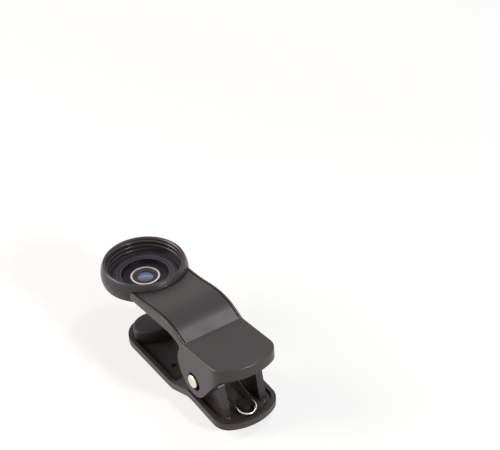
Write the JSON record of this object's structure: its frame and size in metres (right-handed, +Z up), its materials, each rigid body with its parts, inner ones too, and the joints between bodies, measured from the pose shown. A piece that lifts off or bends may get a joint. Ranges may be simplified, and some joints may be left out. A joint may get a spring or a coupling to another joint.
{
  "type": "clip on phone lens",
  "caption": "Spring clip that holds a screw-in add-on lens over a phone's camera: two hinged arms, a threaded lens collar, soft pads and finger handles.",
  "frame": {"origin": "middle of the flat underside of the lower jaw, on which the clip rests", "axes": "+X from the lens end towards the finger handles, +Y across the clip along the hinge pin, +Z up out of the lower arm towards the upper arm"},
  "size_m": [0.0546, 0.0202, 0.0197],
  "materials": {
    "arm_plastic": "fine moulded texture, dark warm grey",
    "soft_pad": "matt, slightly soft",
    "pin_steel": "drawn steel pin",
    "spring_steel": "bright plated wire",
    "cell_black": "black anodised, fine turned",
    "trim_metal": "bright turned",
    "lens_glass": "polished, coated"
  },
  "bodies": {
    "lower": {"lower_arm": "arm_plastic", "jaw_pad": "soft_pad", "hinge_pin": "pin_steel", "torsion_spring": "spring_steel"},
    "upper": {"upper_arm": "arm_plastic", "ring_pad": "soft_pad", "lens_cell": "cell_black", "lens_glass": "lens_glass", "stop_ring": "cell_black", "trim_ring": "trim_metal"}
  },
  "joints": [
    {"name": "jaw_hinge", "type": "hinge", "parent": "lower", "child": "upper", "pos_m": [0.0206, 0, 0.0095], "axis": [0, 1, 0], "range_deg": [-17.2, 32], "stiffness_Nm_per_rad": 0.128, "deforming": ["torsion_spring"]}
  ]
}
